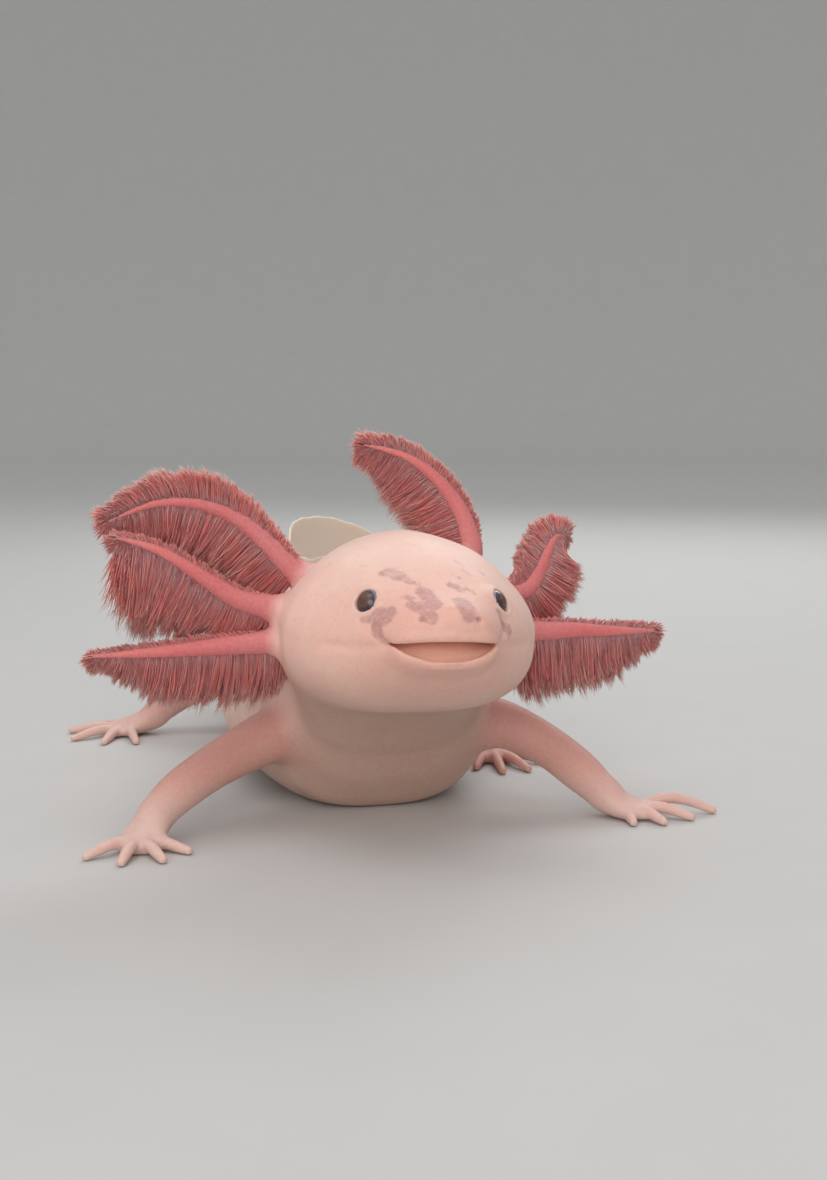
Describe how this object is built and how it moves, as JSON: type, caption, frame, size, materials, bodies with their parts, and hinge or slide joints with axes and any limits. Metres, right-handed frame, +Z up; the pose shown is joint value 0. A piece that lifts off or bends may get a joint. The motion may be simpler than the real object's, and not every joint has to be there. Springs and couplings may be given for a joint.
{
  "type": "axolotl",
  "caption": "Life-size still model of a pale axolotl with feathery red gills, propped on its front legs with its belly on the floor and its tail curled aside.",
  "frame": {"origin": "middle of the flat that the belly makes on the floor, under the trunk's centre line", "axes": "+X towards the animal's left, +Y from the head towards the tail, +Z up"},
  "size_m": [0.1056, 0.1974, 0.065],
  "materials": {
    "skin": "moist satin, pink over cream, with faint mauve-brown blotches on the face",
    "belly_skin": "moist satin, paler pink",
    "fin": "thin, translucent, moist satin",
    "gill": "moist, blood red with paler stalks",
    "eye": "wet gloss, dark"
  },
  "bodies": {
    "root": {"arm_left": "skin", "arm_right": "skin", "hand_left": "skin", "hand_right": "skin", "leg_left": "skin", "leg_right": "skin", "foot_left": "skin", "foot_right": "skin", "head": "skin", "lower_jaw": "skin", "neck": "skin", "tail_base": "skin", "tail_end": "skin", "trunk": "belly_skin", "back_fin_front": "fin", "back_fin_middle": "fin", "back_fin_end": "fin", "lower_fin_middle": "fin", "lower_fin_end": "fin", "gill_left_upper": "gill", "gill_left_middle": "gill", "gill_left_lower": "gill", "gill_right_upper": "gill", "gill_right_middle": "gill", "gill_right_lower": "gill", "eye_left": "eye", "eye_right": "eye"}
  },
  "joints": []
}
